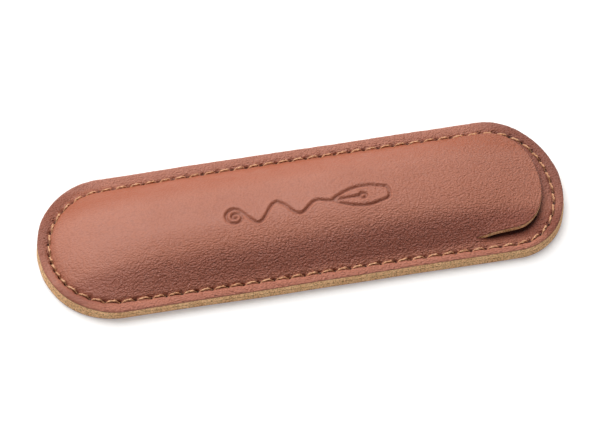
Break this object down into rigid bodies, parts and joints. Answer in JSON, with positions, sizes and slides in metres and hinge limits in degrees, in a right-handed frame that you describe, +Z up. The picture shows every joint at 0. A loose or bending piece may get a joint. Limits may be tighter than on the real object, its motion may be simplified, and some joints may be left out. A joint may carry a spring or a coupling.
{
  "type": "fountain pen case",
  "caption": "Slim leather slip case for a pocket fountain pen: flat back ply, moulded domed front ply and a springy lip over the mouth, lockstitched round the edge.",
  "frame": {"origin": "middle of the case's outline, on the flat face it lies on", "axes": "+X along the case towards the mouth, +Y across the case, +Z up through the crown of the dome"},
  "size_m": [0.132, 0.045, 0.0099],
  "materials": {
    "front_leather": "smooth fine grain cognac leather with raw tan cut edges",
    "back_leather": "smooth fine grain cognac leather with raw tan cut edges",
    "thread": "twisted waxed sewing thread, light tan"
  },
  "bodies": {
    "pouch": {"back_panel": "back_leather", "front_panel": "front_leather", "needle_thread": "thread", "bobbin_thread": "thread"},
    "lip": {"mouth_lip": "front_leather"}
  },
  "joints": [
    {"name": "lip_lift", "type": "hinge", "parent": "pouch", "child": "lip", "pos_m": [0.0396, 0, 0.00893], "axis": [0, -1, 0], "range_deg": [0, 30], "stiffness_Nm_per_rad": 0.01}
  ]
}
